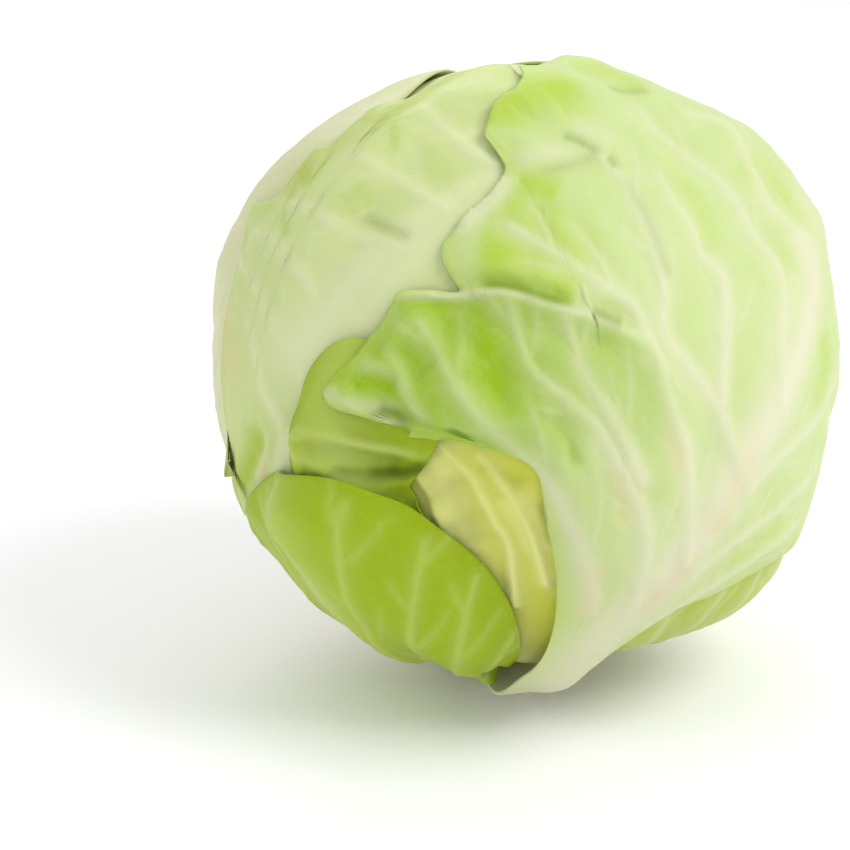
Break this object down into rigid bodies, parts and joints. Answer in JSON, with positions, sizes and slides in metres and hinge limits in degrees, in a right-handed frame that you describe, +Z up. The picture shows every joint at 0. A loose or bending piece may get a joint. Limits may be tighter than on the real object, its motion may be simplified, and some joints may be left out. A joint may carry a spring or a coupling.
{
  "type": "cabbage head",
  "caption": "Whole round white cabbage head with ribbed wrapper leaves overlapping round a packed heart, standing on its cut stem.",
  "frame": {"origin": "middle of the stem's flat cut face, on which the head stands", "axes": "+Z up from the stem to the crown, -Y towards the side with the large front leaf, +X to that side's right"},
  "size_m": [0.192, 0.1917, 0.1895],
  "materials": {
    "pale_leaf": "waxy, pale grey-green with cream ribs",
    "front_leaf": "glossy, pale lime to cream at the midrib, deep green where it is crumpled",
    "green_leaf": "glossy green with cream ribs",
    "heart": "smooth, pale yellow-green",
    "stem": "matt, cream, with a drier cut face"
  },
  "bodies": {
    "root": {"stem": "stem", "heart": "heart", "leaf_crown": "pale_leaf", "leaf_back_left": "pale_leaf", "leaf_back_right": "pale_leaf", "leaf_left": "pale_leaf", "leaf_low_right": "green_leaf", "leaf_front_inner": "green_leaf", "leaf_front_low": "green_leaf", "leaf_low_left": "green_leaf", "leaf_front": "front_leaf"}
  },
  "joints": []
}
